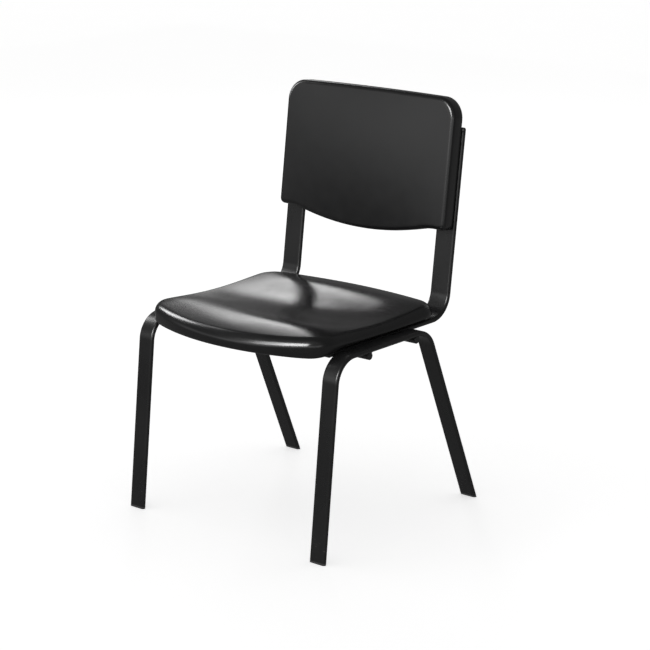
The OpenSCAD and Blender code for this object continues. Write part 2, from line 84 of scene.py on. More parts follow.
class Finish:
    """A surface finish: a material with its principled shader, and one method that adds any other node."""

    def __init__(self, name, **constants):
        self.material = bpy.data.materials.new(name)
        self.material.use_nodes = True
        self.tree = self.material.node_tree
        self.tree.nodes.clear()
        self.shader = self.tree.nodes.new("ShaderNodeBsdfPrincipled")
        for socket, value in constants.items():
            self.shader.inputs[socket.replace("_", " ")].default_value = value
        self.output = self.tree.nodes.new("ShaderNodeOutputMaterial")
        self.tree.links.new(self.shader.outputs["BSDF"], self.output.inputs["Surface"])
        self.place = self.node("ShaderNodeTexCoord", output="Object")

    def node(self, kind, settings=None, inputs=None, output=0):
        made = self.tree.nodes.new(kind)
        for name, value in (settings or {}).items():
            setattr(made, name, value)
        for socket, value in (inputs or {}).items():
            self.feed(made.inputs[socket], value)
        return Wire(self, made.outputs[output])

    def feed(self, socket, value):
        if isinstance(value, Wire):
            self.tree.links.new(value.socket, socket)
        else:
            socket.default_value = value

    def noise(self, per_metre, detail=2.0, roughness=0.5, stretch=None):
        vector = self.place
        if stretch:
            vector = self.node("ShaderNodeMapping", inputs={"Vector": vector, "Scale": stretch})
        return self.node("ShaderNodeTexNoise", {"noise_dimensions": "3D"}, {
            "Vector": vector, "Scale": per_metre, "Detail": detail, "Roughness": roughness})

    def between(self, value, low, high, bottom=0.0, top=1.0):
        return self.node("ShaderNodeMapRange", {"interpolation_type": "SMOOTHSTEP"}, {
            "Value": value, "From Min": low, "From Max": high, "To Min": bottom, "To Max": top})

    def blend(self, share, first, second):
        return self.node("ShaderNodeMix", {"data_type": "RGBA"}, {0: share, 6: first, 7: second}, output=2)

    def relief(self, height, depth, strength=1.0, under=None):
        inputs = {"Height": height, "Distance": depth, "Strength": strength}
        if under is not None:
            inputs["Normal"] = under
        return self.node("ShaderNodeBump", inputs=inputs)

    def set(self, **wires):
        for socket, value in wires.items():
            self.feed(self.shader.inputs[socket.replace("_", " ")], value)

    def cover(self, piece):
        piece.data.materials.clear()
        piece.data.materials.append(self.material)


def powder_coat():
    """Satin black powder coat: orange peel with a finer grain, a little cloudy, scuffed near the floor."""
    dark, light, bared = (0.012, 0.012, 0.0124, 1), (0.017, 0.017, 0.0175, 1), (0.10, 0.098, 0.095, 1)
    scuffs_end, scuffs_full = 0.10, 0.01
    coat = Finish("powder_coat", Specular_IOR_Level=0.5)
    peel = coat.noise(per_metre=520, detail=2.0)
    grain = coat.noise(per_metre=2600, detail=1.0)
    cloud = coat.noise(per_metre=9, detail=3.0)
    height = coat.node("ShaderNodeSeparateXYZ", inputs={"Vector": coat.place}, output="Z")
    low_down = coat.between(height, scuffs_end, scuffs_full)
    streaks = coat.noise(per_metre=90, detail=6.0, roughness=0.65, stretch=(1, 1, 5))
    scratch = coat.between(streaks, 0.60, 0.68)
    scuff = low_down * scratch * 0.6
    coat.set(
        Base_Color=coat.blend(scuff, coat.blend(cloud, dark, light), bared),
        Roughness=coat.between(cloud, 0.3, 0.7, bottom=0.24, top=0.29) + scuff * 0.3 + grain * 0.03,
        Normal=coat.relief(peel * 0.7 + grain * 0.3, depth=0.00012, strength=0.55),
    )
    return coat


class Growth:
    """A geometry tree with named inputs. It ends in plain mesh that carries its finish."""

    def __init__(self, name, **inputs):
        self.tree = bpy.data.node_groups.new(name, "GeometryNodeTree")
        for label, kind in {**inputs, "Finish": "Material"}.items():
            self.tree.interface.new_socket(
                label.replace("_", " "), in_out="INPUT", socket_type="NodeSocket" + kind)
        self.tree.interface.new_socket("Made", in_out="OUTPUT", socket_type="NodeSocketGeometry")
        self.given = self.tree.nodes.new("NodeGroupInput").outputs

    def add(self, kind, links, output=0, **settings):
        node = self.tree.nodes.new(kind)
        for name, value in settings.items():
            setattr(node, name, value)
        for socket, source in links.items():
            if hasattr(source, "is_output"):
                self.tree.links.new(source, node.inputs[socket])
            else:
                node.inputs[socket].default_value = source
        return node.outputs[output]

    def end(self, shape):
        smooth = self.add("GeometryNodeSetShadeSmooth", {"Geometry": shape})
        solid = self.add("GeometryNodeRealizeInstances", {"Geometry": smooth})
        coated = self.add("GeometryNodeSetMaterial", {"Geometry": solid, "Material": self.given["Finish"]})
        self.tree.links.new(coated, self.tree.nodes.new("NodeGroupOutput").inputs["Made"])
        return self.tree


def flat_tube_tree():
    """A flat-oval tube along a bent path: rounds the path's corners and sweeps the section along it."""
    just_under_half = 0.4995
    tube = Growth("bent_flat_tube", Path="Geometry", Width="Float", Thickness="Float", Bend_Radius="Float",
                  Bend_Steps="Int", Edge_Steps="Int")
    given = tube.given
    bends = tube.add("GeometryNodeFilletCurve", {
        "Curve": given["Path"], "Count": given["Bend Steps"], "Radius": given["Bend Radius"]}, mode="POLY")
    facing = tube.add("GeometryNodeSetCurveNormal", {"Curve": bends, "Normal": (1, 0, 0)}, mode="FREE")
    oval = tube.add("GeometryNodeCurvePrimitiveQuadrilateral", {
        "Width": given["Width"], "Height": given["Thickness"]})
    half = tube.add("ShaderNodeMath", {0: given["Thickness"], 1: just_under_half}, operation="MULTIPLY")
    section = tube.add("GeometryNodeFilletCurve", {
        "Curve": oval, "Count": given["Edge Steps"], "Radius": half}, mode="POLY")
    return tube.end(tube.add("GeometryNodeCurveToMesh", {
        "Curve": facing, "Profile Curve": section, "Fill Caps": True}))


def grow(name, host, tree, sizes):
    """Turns a host object into a plain mesh with a geometry tree whose named inputs are given."""
    bpy.context.scene.collection.objects.link(host)
    growth = host.modifiers.new("growth", "NODES")
    growth.node_group = tree
    for socket in tree.interface.items_tree:
        if socket.in_out == "INPUT" and socket.name in sizes:
            growth[socket.identifier] = sizes[socket.name]
    evaluated = host.evaluated_get(bpy.context.evaluated_depsgraph_get())
    mesh = bpy.data.meshes.new_from_object(evaluated)
    bpy.data.objects.remove(host)
    piece = bpy.data.objects.new(name, mesh)
    bpy.context.scene.collection.objects.link(piece)
    return piece


def even_light(piece):
    """Large flats keep their own direction where they meet rounded edges."""
    weighted = piece.modifiers.new("even_light", "WEIGHTED_NORMAL")
    weighted.keep_sharp = True
    evaluated = piece.evaluated_get(bpy.context.evaluated_depsgraph_get())
    mesh = bpy.data.meshes.new_from_object(evaluated)
    piece.modifiers.clear()
    piece.data = mesh


def bent_tube(name, path, wide, finish):
    """One tube of the frame, swept along a path of straight lines whose corners become its bends."""
    line = bpy.data.curves.new(name + "_path", "CURVE")
    line.dimensions = "3D"
    spline = line.splines.new("POLY")
    spline.points.add(len(path) - 1)
    for point, place in zip(spline.points, path):
        point.co = (*place, 1)
    host = bpy.data.objects.new(name + "_path", line)
    return grow(name, host, tube_tree, {
        "Width": wide, "Thickness": tube_thick, "Bend Radius": bend_radius,
        "Bend Steps": 28, "Edge Steps": 9, "Finish": finish.material})


tube_tree = flat_tube_tree()
frame_coat = powder_coat()

for side, hand in ((1, "right"), (-1, "left")):
    x = side * leg_x
    leg = bent_tube("leg_" + hand, [
        (x, front_foot_y, 0), (x, front_knee_y, rail_mid),
        (x, rear_knee_y, rail_mid), (x, rear_foot_y, 0)], leg_tube_wide, frame_coat)
    for vertex in leg.data.vertices:
        if vertex.co.z < foot_cut + tube_thick / 2:
            lean = front_kick if vertex.co.y < 0 else -rear_kick
            vertex.co.y += (foot_cut - vertex.co.z) * lean / rail_mid
            vertex.co.z = foot_cut
    even_light(leg)
    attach(leg, "root")
    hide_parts("leg_frame_" + hand)


# The two back uprights. Each is one wider flat-oval tube, 50 by 10 mm: a level run beside the rail,
# under the seat, a bend behind it, and a post that leans back and carries the back pad.

post_tube_wide = 0.050
post_reach = 0.414
post_lean = math.radians(7.5)
post_long = 0.401
post_cap = 0.007
post_tube_long = post_long - post_cap
post_low, post_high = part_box("back_upright_right")
post_x = (post_low.x + post_high.x) / 2
post_knee_y = front_knee_y + post_reach
along_post = Vector((0, math.sin(post_lean), math.cos(post_lean)))
out_of_post = Vector((0, -math.cos(post_lean), math.sin(post_lean)))
post_knee = Vector((0, post_knee_y, rail_mid))

for side, hand in ((1, "right"), (-1, "left")):
    shift = Vector((side * post_x, 0, 0))
    upright = bent_tube("upright_" + hand, [
        shift + Vector((0, post_low.y, rail_mid)), shift + post_knee,
        shift + post_knee + along_post * post_tube_long], post_tube_wide, frame_coat)
    even_light(upright)
    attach(upright, "root")
    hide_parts("back_upright_" + hand)


# The two cross bars. Each is a round steel bar, 16 mm thick, under both rails and both level runs. The
# bars keep their solids, and rippled weld beads lie in the corners between bars and tubes.

bar_thick = 0.016
tube_under = rail_top - tube_thick
weld_leg = 0.0035
seam_across, seam_down = 0.42, 0.5
bead_radius, bead_pitch, bead_tilt = 0.0023, 0.0016, math.radians(24)
flattest_ripple, fullest_ripple = (0.60, 0.92, 0.92), (0.72, 1.08, 1.08)


def weld_bead_tree():
    """A weld bead: flat ripples, one lapping the other, in a row along a seam."""
    bead = Growth("rippled_bead", Seam="Geometry", Pitch="Float", Ripple_Radius="Float", Seed="Int")
    given = bead.given
    row = bead.add("GeometryNodeCurveToPoints", {
        "Curve": given["Seam"], "Length": given["Pitch"]}, mode="LENGTH")
    ripple = bead.add("GeometryNodeMeshUVSphere", {
        "Segments": 16, "Rings": 9, "Radius": given["Ripple Radius"]})
    size = bead.add("FunctionNodeRandomValue", {
        0: flattest_ripple, 1: fullest_ripple, 8: given["Seed"]}, data_type="FLOAT_VECTOR")
    return bead.end(bead.add("GeometryNodeInstanceOnPoints", {
        "Points": row, "Instance": ripple, "Rotation": (0, bead_tilt, 0), "Scale": size}))


seams = bpy.data.curves.new("weld_seams", "CURVE")
seams.dimensions = "3D"
for name in ("front_cross_bar", "rear_cross_bar"):
    frame_coat.cover(nodes[name])
    bar_low, bar_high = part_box(name)
    bar_y = (bar_low.y + bar_high.y) / 2
    for side in (1, -1):
        for mid_x, wide in ((leg_x, leg_tube_wide), (post_x, post_tube_wide)):
            half_long = (wide - tube_thick - weld_leg) / 2 - bead_radius / 2
            for across in (1, -1):
                seam = seams.splines.new("POLY")
                seam.points.add(1)
                for point, reach in zip(seam.points, (-half_long, half_long)):
                    point.co = (side * mid_x + reach, bar_y + across * bar_thick * seam_across,
                                tube_under - weld_leg * seam_down, 1)

beads = grow("weld_beads", bpy.data.objects.new("weld_seams", seams), weld_bead_tree(), {
    "Pitch": bead_pitch, "Ripple Radius": bead_radius, "Seed": 4, "Finish": frame_coat.material})
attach(beads, "root")


# The plugs and glides. Moulded plastic, pressed into the tube ends: domed caps in the uprights' tops,
# flat caps in the front ends of the level runs, and nylon glides in the legs, which stand on the floor.

def skinned(name, rings, first, last):
    """A closed smooth mesh over stacked rings of equal count, with a middle point at each end."""
    count = len(rings[0])
    points = [p for ring in rings for p in ring] + [first, last]
    faces = []
    for j in range(len(rings) - 1):
        for i in range(count):
            k = (i + 1) % count
            faces.append((j * count + i, j * count + k, (j + 1) * count + k, (j + 1) * count + i))
    top = (len(rings) - 1) * count
    for i in range(count):
        k = (i + 1) % count
        faces.append((len(points) - 2, k, i))
        faces.append((len(points) - 1, top + i, top + k))
    mesh = bpy.data.meshes.new(name)
    mesh.from_pydata(points, [], faces)
    mesh.shade_smooth()
    tidy = bmesh.new()
    tidy.from_mesh(mesh)
    bmesh.ops.recalc_face_normals(tidy, faces=tidy.faces)
    tidy.to_mesh(mesh)
    tidy.free()
    piece = bpy.data.objects.new(name, mesh)
    bpy.context.scene.collection.objects.link(piece)
    return piece


def moulded_plastic(name, shade, rough):
    """Black injection-moulded plastic: a fine spark-eroded texture, a little cloudy."""
    plastic = Finish(name)
    spark = plastic.noise(per_metre=2200, detail=2.0)
    cloud = plastic.noise(per_metre=60, detail=2.0)
    dark, light = ((shade * share,) * 3 + (1,) for share in (0.8, 1.2))
    plastic.set(
        Base_Color=plastic.blend(cloud, dark, light),
        Roughness=plastic.between(cloud, 0.3, 0.7, bottom=rough - 0.04, top=rough + 0.06),
        Normal=plastic.relief(spark, depth=0.00006, strength=0.5),
    )
    return plastic


plug_plastic = moulded_plastic("plug_plastic", shade=0.016, rough=0.42)
glide_nylon = moulded_plastic("glide_nylon", shade=0.012, rough=0.6)
for name, node in nodes.items():
    if "_plug_" in name:
        plug_plastic.cover(node)
    if "_glide_" in name:
        glide_nylon.cover(node)

plug_top, plug_shoulder, plug_bevel = 0.0098, 0.0045, 0.0003
plug_wall = plug_top - plug_shoulder
wall_ring_share = 0.6
oval_end_steps, dome_steps = 12, 7


def plug_ring(side, high, inset):
    """The upright's flat-oval outline, drawn in a little, at a height above the end of its tube."""
    half_round = tube_thick / 2
    ring = []
    for end in (1, -1):
        for step in range(oval_end_steps + 1):
            turn = math.radians(-90 + 180 * step / oval_end_steps)
            across = end * (post_tube_wide / 2 - half_round + (half_round - inset) * math.cos(turn))
            ring.append(Vector((side * post_x + across, 0, 0)) + post_knee
                        + along_post * (post_tube_long + high)
                        + out_of_post * end * (half_round - inset) * math.sin(turn))
    return ring


for side, name in ((1, "right"), (-1, "left")):
    rings = [plug_ring(side, 0, plug_bevel), plug_ring(side, plug_bevel, 0),
             plug_ring(side, plug_wall * wall_ring_share, 0)]
    for step in range(dome_steps + 1):
        rise = math.radians(90 * step / dome_steps)
        rings.append(plug_ring(side, plug_wall + plug_shoulder * math.sin(rise),
                               plug_shoulder * (1 - math.cos(rise))))
    tube_end = Vector((side * post_x, 0, 0)) + post_knee + along_post * post_tube_long
    dome = skinned("domed_post_plug_" + name, rings, tube_end, tube_end + along_post * plug_top)
    plug_plastic.cover(dome)
    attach(dome, "root")
    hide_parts("post_plug_" + name)


# The seat board. A plate of plywood, stained black, with the T-nuts of the seat screws sunk in it. It
# closes the pocket in the underside of the seat pad, as the back board does behind the back pad.

def stained_plywood():
    """Black stained plywood: long open grain, slightly lighter along the pores."""
    dark, light = (0.012, 0.0115, 0.011, 1), (0.04, 0.035, 0.03, 1)
    wood = Finish("stained_plywood")
    grain = wood.noise(per_metre=220, detail=6.0, roughness=0.65, stretch=(1, 0.05, 1))
    figure = wood.noise(per_metre=14, detail=3.0, roughness=0.5, stretch=(1, 0.15, 1))
    pores = wood.between(grain, 0.5, 0.72)
    wood.set(
        Base_Color=wood.blend(pores * 0.6 + figure * 0.3, dark, light),
        Roughness=wood.between(grain, 0.3, 0.7, bottom=0.62, top=0.78),
        Normal=wood.relief(grain, depth=0.00025, strength=0.5),
    )
    return wood


plywood = stained_plywood()
for name in ("seat_board", "back_board"):
    plywood.cover(nodes[name])


# The seat pad. Moulded polyurethane foam with its own closed skin, over the seat board: bowed front
# with a lip that hangs over the rails' bends, a shallow hollow for the sitter, and no seams.

seat_low, seat_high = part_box("seat_pad")
seat_wide = seat_high.x - seat_low.x
seat_front_y, seat_rear_y = seat_low.y, seat_high.y
seat_deep, seat_mid_y = seat_rear_y - seat_front_y, (seat_front_y + seat_rear_y) / 2
seat_bow, seat_rear_bow = 0.520, 0.850
seat_front_corner, seat_rear_corner = 0.059, 0.060
seat_crest, seat_edge, seat_roll_wide, seat_roll_high = 0.0400, 0.0195, 0.098, 0.012
seat_corner_rise, seat_side_rise, seat_crown = 0.0055, 0.0042, 0.002
side_rise_end, side_rise_share = 0.06, 0.8
seat_front_fall, fall_reach = 0.006, 0.105
fall_start_y = front_knee_y + fall_reach
seat_front_edge, seat_front_blend = 0.0175, 0.120
seat_lift, seat_lip, seat_tuck = 0.008, 0.009, 0.006
lip_start_share, lip_end_share = 0.45, 1.6
lip_start_y = front_knee_y - lip_start_share * (front_knee_y - seat_front_y)
front_tangent = bend_radius * math.tan((math.pi / 2 - math.atan(front_kick / rail_mid)) / 2)
lip_end_y = front_knee_y + lip_end_share * front_tangent
seat_dish, seat_rim_dip, dish_side_share = 0.021, 0.0024, 0.68
dish_middle_share, dish_reach_share = 0.516, 0.348
dish_y, dish_reach = seat_front_y + dish_middle_share * seat_deep, dish_reach_share * seat_deep
top_start_share, seat_rim_steps, seat_top_steps = 1.3, 20, 40
# Where the rings under the rim lie: how many tucks inwards, and how far up the side.
seat_underturn = ((2.4, 0.10), (1.75, 0.06), (1.35, 0.015), (1, 0), (0.65, 0.03), (0.35, 0.1),
                  (0.15, 0.22), (0.04, 0.38), (0, 0.6))


def foam_skin():
    """Closed skin of moulded foam: glossy satin black, a very fine leather-like grain, faint waves."""
    dark, light = (0.012, 0.012, 0.0124, 1), (0.016, 0.016, 0.0165, 1)
    skin = Finish("foam_skin", Specular_IOR_Level=0.5)
    grain = skin.node("ShaderNodeTexVoronoi", {"feature": "SMOOTH_F1"}, {
        "Vector": skin.place, "Scale": 1100, "Smoothness": 0.6})
    fine = skin.noise(per_metre=3200, detail=2.0)
    wave = skin.noise(per_metre=14, detail=2.0)
    cloud = skin.noise(per_metre=30, detail=4.0)
    soft = skin.relief(wave, depth=0.0006, strength=0.1)
    skin.set(
        Base_Color=skin.blend(cloud, dark, light),
        Roughness=skin.between(cloud, 0.3, 0.7, bottom=0.19, top=0.215) + fine * 0.02,
        Normal=skin.relief(grain * 0.7 + fine * 0.3, depth=0.00003, strength=0.1, under=soft),
    )
    return skin


def arc(centre, radius, start, end, steps):
    """Points along an arc, from its start up to just before its end."""
    return [(centre[0] + radius * math.cos(start + (end - start) * i / steps),
             centre[1] + radius * math.sin(start + (end - start) * i / steps)) for i in range(steps)]


def pad_outline(wide, low, high, low_bow, low_corner, high_bow, high_corner, inset):
    """A pad's outline drawn in by an inset: two bows, four corners and two straight sides."""
    low_x, high_x = wide / 2 - low_corner, wide / 2 - high_corner
    low_a = math.asin(low_x / (low_bow - low_corner))
    high_a = math.asin(high_x / (high_bow - high_corner))
    low_y = low + low_bow - (low_bow - low_corner) * math.cos(low_a)
    high_y = high - high_bow + (high_bow - high_corner) * math.cos(high_a)
    quarter = math.pi / 2
    bow, corner, side = 40, 16, 20

    def straight(x, start, end):
        return [(x, start + (end - start) * i / side) for i in range(side)]

    return (
        arc((0, low + low_bow), low_bow - inset, -quarter - low_a, -quarter + low_a, bow)
        + arc((low_x, low_y), low_corner - inset, -quarter + low_a, 0, corner)
        + straight(wide / 2 - inset, low_y, high_y)
        + arc((high_x, high_y), high_corner - inset, 0, quarter - high_a, corner)
        + arc((0, high - high_bow), high_bow - inset, quarter - high_a, quarter + high_a, bow)
        + arc((-high_x, high_y), high_corner - inset, quarter + high_a, 2 * quarter, corner)
        + straight(-wide / 2 + inset, high_y, low_y)
        + arc((-low_x, low_y), low_corner - inset, 2 * quarter, 3 * quarter - low_a, corner)
    )


def seat_outline(inset):
    """The seat's outline from above, drawn in by an inset."""
    return pad_outline(seat_wide, seat_front_y, seat_rear_y, seat_bow, seat_front_corner,
                       seat_rear_bow, seat_rear_corner, inset)


def seat_top(x, y, inset):
    """Height of the seat's top at a place that lies that far inside the outline."""
    back = max(0, min(1, (y - front_knee_y) / seat_front_blend))
    edge = seat_front_edge + (seat_edge - seat_front_edge) * back * back * (3 - 2 * back)
    u, v = max(0, 1 - inset / edge), max(0, 1 - inset / seat_roll_wide)
    across = min(1, abs(2 * x / seat_wide))
    along = min(1, abs(y - dish_y) / dish_reach)
    broad, inward = 1 - across * across, 1 - v * v
    rise = seat_corner_rise * (across * abs(y - seat_mid_y) / (seat_rear_y - seat_mid_y)) ** 3
    ahead = max(0, min(1, (seat_rear_y - side_rise_end - y) / (side_rise_share * seat_deep)))
    rise += seat_side_rise * across ** 4 * ahead
    forward = max(0, (fall_start_y - y) / (fall_start_y - seat_front_y))
    front = seat_front_fall * forward ** 3 * (1 - across ** 4)
    deep = seat_dish * (dish_side_share + (1 - dish_side_share) * broad)
    hollow = seat_rim_dip + (deep - seat_rim_dip) * inward
    return (rail_top + seat_crest + rise - front + seat_crown * broad * inward
            - hollow * (1 - along * along) ** 2
            - edge * (1 - math.sqrt(1 - u * u)) - seat_roll_high * v * v)


def seat_under(y):
    """Height of the pad's lower edge: the lip in front, lifted clear of the rails further back."""
    u = max(0, min(1, (y - lip_start_y) / (lip_end_y - lip_start_y)))
    return rail_top - seat_lip + (seat_lip + seat_lift) * u * u * (3 - 2 * u)


def seat_rings():
    """The seat from its underside, round the rim, to the middle of its top, and the two middle points."""
    rings = []
    for tucks, share in seat_underturn:
        ring = []
        for x, y in seat_outline(tucks * seat_tuck):
            low = seat_under(y)
            ring.append((x, y, low + share * (seat_top(x, y, 0) - low)))
        rings.append(ring)
    for step in range(seat_rim_steps):
        inset = seat_edge * (1 - math.cos(math.radians(90 * step / seat_rim_steps)))
        rings.append([(x, y, seat_top(x, y, inset)) for x, y in seat_outline(inset)])
    start = top_start_share * seat_edge
    reach = seat_wide / 2 - start
    inner = seat_outline(start)
    for step in range(seat_top_steps):
        share = step / seat_top_steps
        drawn_in = [(x * (1 - share), seat_mid_y + (y - seat_mid_y) * (1 - share)) for x, y in inner]
        rings.append([(x, y, seat_top(x, y, start + share * reach)) for x, y in drawn_in])
    return (rings, (0, seat_mid_y, rail_top + seat_lift),
            (0, seat_mid_y, seat_top(0, seat_mid_y, seat_wide / 2)))


pad_skin = foam_skin()
seat = skinned("seat_cushion", *seat_rings())
pad_skin.cover(seat)
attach(seat, "root")
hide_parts("seat_pad")


# The back pad. The same moulded foam over the back board: large top corners, small bottom corners,
# a bellied lower edge and a slightly crowned face.

back_low, back_high, back_thick = 0.160, 0.467, 0.0345
back_mid_v = (back_low + back_high) / 2
back_crown, back_edge, back_tuck = 0.004, 0.009, 0.004
back_belly, belly_high, back_flare, back_top = 0.700, 0.0245, 0.122, 9.0
back_corner, back_low_corner = 0.046, 0.012
skin_swell = 0.0025
back_box_low, back_box_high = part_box("back_pad")
back_wide = back_box_high.x - back_box_low.x + 2 * skin_swell
rear_dip, rear_land, back_rim_steps, back_face_steps = 0.0006, 0.0004, 15, 40
# Where the rings of the rear edge lie: how far inwards, and how far out from the posts.
back_underturn = (
    (1.5 * back_tuck, rear_dip), (back_tuck, 0), (0.7 * back_tuck, rear_land),
    (0.25 * back_tuck, 0.5 * back_tuck), (0.06 * back_tuck, 0.8 * back_tuck), (0, back_tuck))


def back_outline(inset):
    """The back's outline drawn in by an inset: belly, hollow flares, level ends, sides and top bow."""
    quarter = math.pi / 2
    belly_a = math.acos(1 - belly_high / (back_belly + back_flare))
    flare_x = (back_belly + back_flare) * math.sin(belly_a)
    flare_v = back_low + belly_high - back_flare
    low_x, low_v = back_wide / 2 - back_low_corner, back_low + belly_high + back_low_corner
    high_x = back_wide / 2 - back_corner
    high_a = math.asin(high_x / (back_top - back_corner))
    high_v = back_high - back_top + (back_top - back_corner) * math.cos(high_a)
    belly, flare, corner, low_corner, level, side, top = 40, 10, 16, 8, 4, 20, 40

    def between(start, end, steps):
        return [(start[0] + (end[0] - start[0]) * i / steps, start[1] + (end[1] - start[1]) * i / steps)
                for i in range(steps)]

    end_v = back_low + belly_high + inset
    return (
        arc((0, back_low + back_belly), back_belly - inset, -quarter - belly_a, -quarter + belly_a, belly)
        + arc((flare_x, flare_v), back_flare + inset, quarter + belly_a, quarter, flare)
        + between((flare_x, end_v), (low_x, end_v), level)
        + arc((low_x, low_v), back_low_corner - inset, -quarter, 0, low_corner)
        + between((back_wide / 2 - inset, low_v), (back_wide / 2 - inset, high_v), side)
        + arc((high_x, high_v), back_corner - inset, 0, quarter - high_a, corner)
        + arc((0, back_high - back_top), back_top - inset, quarter - high_a, quarter + high_a, top)
        + arc((-high_x, high_v), back_corner - inset, quarter + high_a, 2 * quarter, corner)
        + between((-back_wide / 2 + inset, high_v), (-back_wide / 2 + inset, low_v), side)
        + arc((-low_x, low_v), back_low_corner - inset, 2 * quarter, 3 * quarter, low_corner)
        + between((-low_x, end_v), (-flare_x, end_v), level)
        + arc((-flare_x, flare_v), back_flare + inset, quarter, quarter - belly_a, flare)
    )


def on_back(u, v, out):
    """A place on the back pad, from its distance sideways, up the posts and out from them."""
    place = post_knee + along_post * v + out_of_post * (tube_thick / 2 + out)
    return (u, place.y, place.z)


def back_swell(u, v):
    """How far the face stands proud of its edge at a place."""
    half_v = (back_high - back_low) / 2 - back_edge
    across, along = 2 * u / (back_wide - 2 * back_edge), (v - back_mid_v) / half_v
    return back_crown * max(0, 1 - across * across) * max(0, 1 - along * along)


def back_rings():
    """The back from its rear edge, round the rim, to the middle of its face, and the two middle points."""
    rings = [[on_back(u, v, out) for u, v in back_outline(inset)] for inset, out in back_underturn]
    for step in range(back_rim_steps + 1):
        turn = math.radians(90 * step / back_rim_steps)
        rings.append([on_back(u, v, back_thick - back_edge * (1 - math.sin(turn)) + back_swell(u, v))
                      for u, v in back_outline(back_edge * (1 - math.cos(turn)))])
    inner = back_outline(back_edge)
    for step in range(1, back_face_steps):
        share = step / back_face_steps
        drawn_in = [(u * (1 - share), back_mid_v + (v - back_mid_v) * (1 - share)) for u, v in inner]
        rings.append([on_back(u, v, back_thick + back_swell(u, v)) for u, v in drawn_in])
    return rings, on_back(0, back_mid_v, rear_dip), on_back(0, back_mid_v, back_thick + back_crown)


back = skinned("back_cushion", *back_rings())
pad_skin.cover(back)
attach(back, "root")
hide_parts("back_pad")


# The screws and T-nuts. Black button-head screws with a hexagon socket go up through the level runs
# and forwards through the posts, into zinc-plated T-nuts sunk in the two boards.

def plated_steel(name, dark, light, rough):
    """Steel with a thin plating: fine turning marks, uneven in tone and gloss."""
    steel = Finish(name, Metallic=1.0)
    turned = steel.noise(per_metre=900, detail=3.0)
    steel.set(
        Base_Color=steel.blend(turned, dark, light),
        Roughness=steel.between(turned, 0.3, 0.7, bottom=rough - 0.05, top=rough + 0.08),
        Normal=steel.relief(turned, depth=0.00004, strength=0.4),
    )
    return steel


black_oxide = plated_steel(
    "black_oxide", dark=(0.02, 0.02, 0.021, 1), light=(0.05, 0.05, 0.052, 1), rough=0.38)
zinc = plated_steel("zinc", dark=(0.45, 0.45, 0.43, 1), light=(0.62, 0.62, 0.60, 1), rough=0.35)
for name in ("seat_tee_nuts", "back_tee_nuts"):
    zinc.cover(nodes[name])

screw_radius, head_radius, head_high = 0.003, 0.006, 0.0035
key_radius, key_depth, drill_dip = 0.0023, 0.002, 0.0003
# Shares of these that shape the screw's tip, its head's edge and dome, and its socket. A turn in degrees.
tip_share, tip_chamfer, head_under, head_rim = 0.8, 0.2, 0.97, 0.05
dome_low, dome_share, dome_turn, head_steps = 0.28, 0.72, 78, 8
key_land, key_mouth, mouth_high, key_floor = 1.2, 1.08, 0.96, 0.6
nut_flange = 0.0012
seat_board_thick, back_board_thick = 0.010, 0.008
seat_screw_front, seat_screw_rear = 0.062, 0.004
back_screw_drop, back_screw_gap = 0.043, 0.130


def button_screw(name, long):
    """A button-head screw with a hexagon socket, head under zero and shank upwards."""
    around = 36

    def ring(radius, z, hexagon=0.0):
        points = []
        for i in range(around):
            turn = 2 * math.pi * i / around
            flat = math.cos(math.pi / 6) / math.cos(turn % (math.pi / 3) - math.pi / 6)
            out = radius * (1 - hexagon + hexagon * flat)
            points.append((out * math.cos(turn), out * math.sin(turn), z))
        return points

    land, bottom = key_radius * key_land, key_depth - head_high
    rings = [ring(screw_radius * tip_share, long), ring(screw_radius, long - screw_radius * tip_chamfer),
             ring(screw_radius, 0), ring(head_radius * head_under, 0),
             ring(head_radius, -head_rim * head_high)]
    for step in range(head_steps + 1):
        rise = math.radians(dome_turn * step / head_steps)
        rings.append(ring(
            land + (head_radius - land) * math.cos(rise),
            -head_high * (dome_low + dome_share * math.sin(rise) / math.sin(math.radians(dome_turn)))))
    rings += [ring(key_radius * key_mouth, -head_high, 1), ring(key_radius, -head_high * mouth_high, 1),
              ring(key_radius, bottom, 1), ring(key_radius * key_floor, bottom, 1)]
    return skinned(name, rings, (0, 0, long), (0, 0, bottom + drill_dip))


def screw_tree():
    """Sets a screw at each place, all driven one way, each stopped at its own turn."""
    rows = Growth("driven_screws", Places="Geometry", Screw="Object", Direction="Vector", Seed="Int")
    given = rows.given
    screw = rows.add("GeometryNodeObjectInfo", {"Object": given["Screw"]}, output="Geometry")
    turn = rows.add("FunctionNodeRandomValue", {
        3: 2 * math.pi, 8: given["Seed"]}, output=1, data_type="FLOAT")
    spin = rows.add("ShaderNodeCombineXYZ", {"Z": turn})
    driven = rows.add("GeometryNodeInstanceOnPoints", {
        "Points": given["Places"], "Instance": screw, "Rotation": given["Direction"]})
    return rows.end(rows.add("GeometryNodeRotateInstances", {"Instances": driven, "Rotation": spin}))


